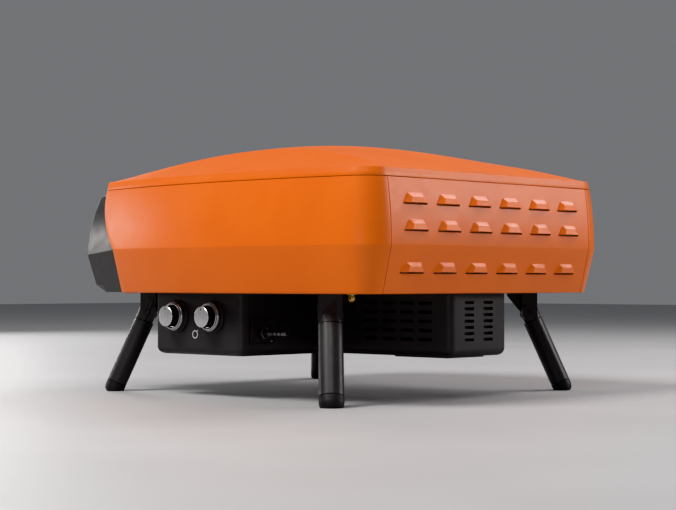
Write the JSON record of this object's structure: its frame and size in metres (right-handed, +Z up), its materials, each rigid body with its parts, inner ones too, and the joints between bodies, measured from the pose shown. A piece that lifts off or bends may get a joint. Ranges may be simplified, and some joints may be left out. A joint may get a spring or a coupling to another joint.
{
  "type": "portable gas oven",
  "caption": "Low domed gas oven for pizza with a rotating baking stone, a hooded mouth, a louvred back, gas knobs, and folding splayed legs.",
  "frame": {"origin": "on the floor under the middle of the bounding box, with the oven standing on its four open legs", "axes": "+Z up, -Y the way the mouth faces, +X the side with the two gas knobs"},
  "size_m": [0.5796, 0.6252, 0.3716],
  "materials": {
    "orange_paint": "satin",
    "black_paint": "satin",
    "steel": "satin",
    "cap_steel": "satin",
    "chrome_trim": "polished",
    "brass_fitting": "satin",
    "baking_stone": "matte",
    "fibre_insulation": "matte",
    "black_plastic": "matte",
    "battery_wrap": "gloss",
    "igniter_ceramic": "gloss",
    "foot_rubber": "matte",
    "dark_steel": "satin"
  },
  "bodies": {
    "chassis": {"side_panel_right": "orange_paint", "side_panel_left": "orange_paint", "rear_louvre_panel": "orange_paint", "top_cover": "orange_paint", "insulation_blanket": "fibre_insulation", "inner_dome": "steel", "mouth_hood": "black_paint", "landing_plate": "steel", "base_plate": "steel", "floor_board": "fibre_insulation", "floor_pan": "steel", "thrust_ring": "brass_fitting", "shaft_bearing": "brass_fitting", "gear_motor": "steel", "motor_bracket": "steel", "underbody_housing": "black_paint", "battery_hatch": "black_paint", "battery_tray": "black_plastic", "battery_pack": "battery_wrap", "switch_frame": "black_plastic", "gas_valve_main": "brass_fitting", "knob_bezel_main": "chrome_trim", "gas_valve_booster": "brass_fitting", "knob_bezel_booster": "chrome_trim", "gas_rail": "brass_fitting", "inlet_plate": "black_paint", "inlet_nut": "dark_steel", "hose_barb": "dark_steel", "brass_plug": "brass_fitting", "horseshoe_burner": "steel", "booster_burner": "steel", "igniter_rod": "igniter_ceramic", "leg_bracket_rear_right": "black_paint", "leg_pin_rear_right": "dark_steel", "leg_bracket_front_right": "black_paint", "leg_pin_front_right": "dark_steel", "leg_bracket_rear_left": "black_paint", "leg_pin_rear_left": "dark_steel", "leg_bracket_front_left": "black_paint", "leg_pin_front_left": "dark_steel"},
    "turntable": {"stone_disc": "baking_stone", "stone_carrier": "steel", "turntable_shaft": "steel", "drive_gear": "black_plastic"},
    "pinion": {"motor_pinion": "black_plastic"},
    "stem_main": {"valve_stem_main": "brass_fitting"},
    "knob_main": {"knob_grip_main": "black_plastic", "knob_cap_main": "cap_steel"},
    "stem_booster": {"valve_stem_booster": "brass_fitting"},
    "knob_booster": {"knob_grip_booster": "black_plastic", "knob_cap_booster": "cap_steel"},
    "rotation_button": {"switch_button": "black_plastic"},
    "leg_rear_right": {"leg_tube_rear_right": "black_paint", "leg_foot_rear_right": "foot_rubber"},
    "leg_front_right": {"leg_tube_front_right": "black_paint", "leg_foot_front_right": "foot_rubber"},
    "leg_rear_left": {"leg_tube_rear_left": "black_paint", "leg_foot_rear_left": "foot_rubber"},
    "leg_front_left": {"leg_tube_front_left": "black_paint", "leg_foot_front_left": "foot_rubber"}
  },
  "joints": [
    {"name": "turntable_spin", "type": "hinge", "parent": "chassis", "child": "turntable", "pos_m": [0, 0.029, 0.197], "axis": [0, 0, 1], "continuous": true},
    {"name": "pinion_spin", "type": "hinge", "parent": "chassis", "child": "pinion", "pos_m": [0, 0.0815, 0.131], "axis": [0, 0, 1], "continuous": true},
    {"name": "knob_main_push", "type": "slide", "parent": "chassis", "child": "stem_main", "axis": [-1, 0, 0], "range_m": [0, 0.003], "stiffness_N_per_m": 900, "springref_m": -0.001},
    {"name": "knob_main_turn", "type": "hinge", "parent": "stem_main", "child": "knob_main", "pos_m": [0.25, -0.1025, 0.117], "axis": [1, 0, 0], "range_deg": [0, 180]},
    {"name": "knob_booster_push", "type": "slide", "parent": "chassis", "child": "stem_booster", "axis": [-1, 0, 0], "range_m": [0, 0.003], "stiffness_N_per_m": 900, "springref_m": -0.001},
    {"name": "knob_booster_turn", "type": "hinge", "parent": "stem_booster", "child": "knob_booster", "pos_m": [0.25, -0.0246, 0.117], "axis": [1, 0, 0], "range_deg": [0, 180]},
    {"name": "rotation_button_press", "type": "slide", "parent": "chassis", "child": "rotation_button", "axis": [1, 0, 0], "range_m": [0, 0.002], "stiffness_N_per_m": 500, "springref_m": -0.001},
    {"name": "leg_rear_right_fold", "type": "hinge", "parent": "chassis", "child": "leg_rear_right", "pos_m": [0.2234, 0.1944, 0.121], "axis": [-0.7133, 0.7009, 0], "range_deg": [0, 112]},
    {"name": "leg_front_right_fold", "type": "hinge", "parent": "chassis", "child": "leg_front_right", "pos_m": [0.1926, -0.2218, 0.121], "axis": [0.7133, 0.7009, 0], "range_deg": [0, 112]},
    {"name": "leg_rear_left_fold", "type": "hinge", "parent": "chassis", "child": "leg_rear_left", "pos_m": [-0.2234, 0.1944, 0.121], "axis": [-0.7133, -0.7009, 0], "range_deg": [0, 112]},
    {"name": "leg_front_left_fold", "type": "hinge", "parent": "chassis", "child": "leg_front_left", "pos_m": [-0.1926, -0.2218, 0.121], "axis": [0.7133, -0.7009, 0], "range_deg": [0, 112]}
  ],
  "couplings": [
    {"joint": "pinion_spin", "follows": "turntable_spin", "ratio": -2.5}
  ]
}
